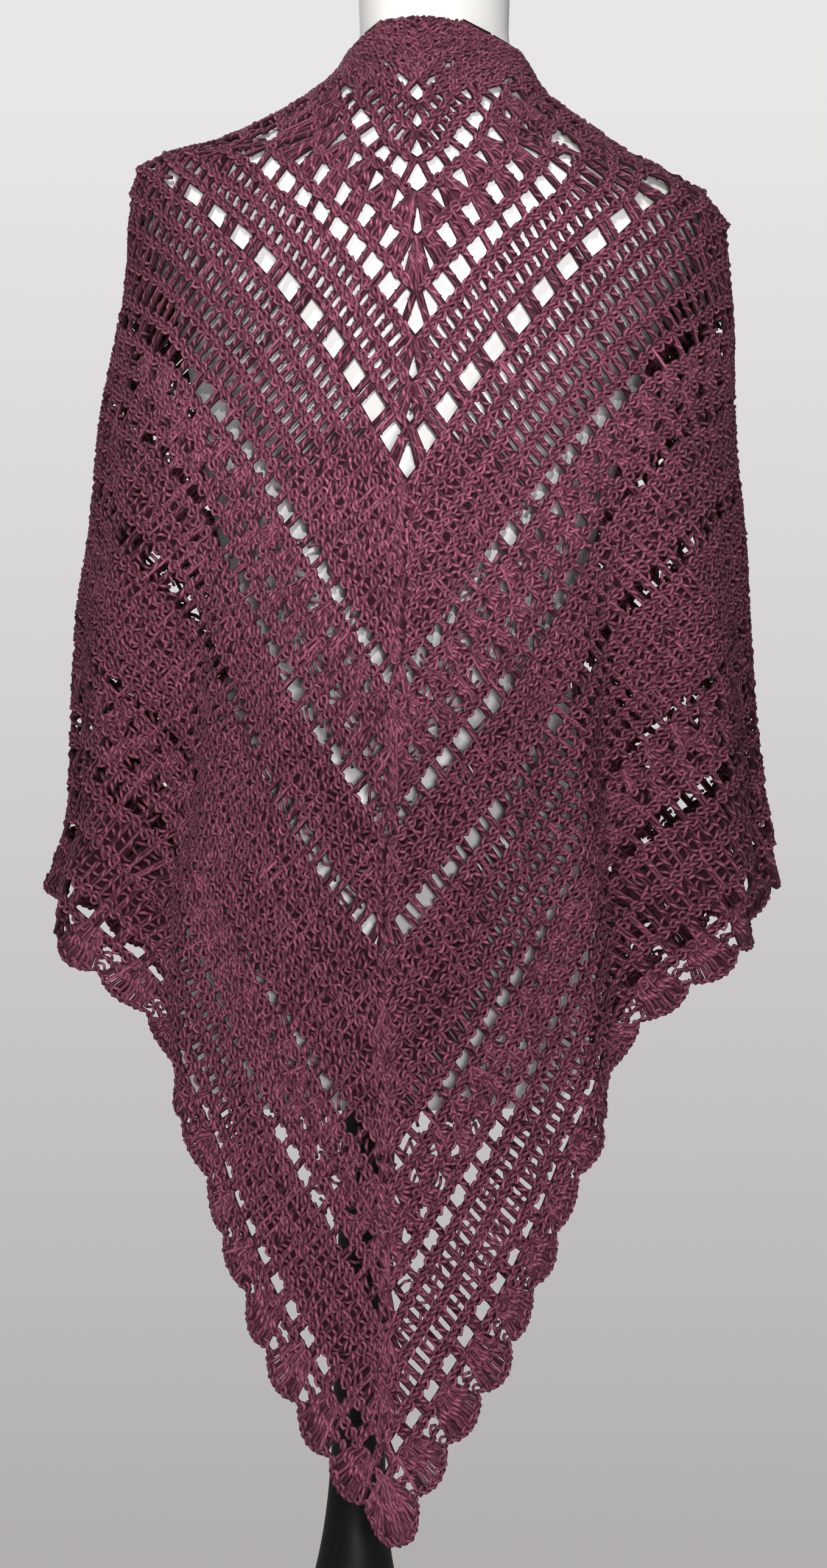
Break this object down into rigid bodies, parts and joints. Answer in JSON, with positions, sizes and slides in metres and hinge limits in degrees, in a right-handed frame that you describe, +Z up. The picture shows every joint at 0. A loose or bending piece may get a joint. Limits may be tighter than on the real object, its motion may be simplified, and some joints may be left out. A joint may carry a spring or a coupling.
{
  "type": "crochet shawl on dress form",
  "caption": "Large triangular crochet shawl with openwork bands and a shell edging, worn open over a limbless dress form that leans on its round stand.",
  "frame": {"origin": "on the floor under the stand foot's flat underside, 14.5 mm left of its middle", "axes": "+Z up; -Y is the shawl's back, where its point hangs; +Y is the wearer's front, where it is open; -X is the wearer's left"},
  "size_m": [0.5402, 0.32, 1.42],
  "materials": {
    "shawl_yarn": "matte dusty plum yarn",
    "form_cover": "plain off-white stretched cover",
    "stand_black": "black satin"
  },
  "bodies": {
    "root": {"shawl_body_left": "shawl_yarn", "shawl_body_right": "shawl_yarn", "shell_edging_left": "shawl_yarn", "shell_edging_right": "shawl_yarn", "form_torso": "form_cover", "stand_pole": "stand_black", "stand_foot": "stand_black"}
  },
  "joints": []
}
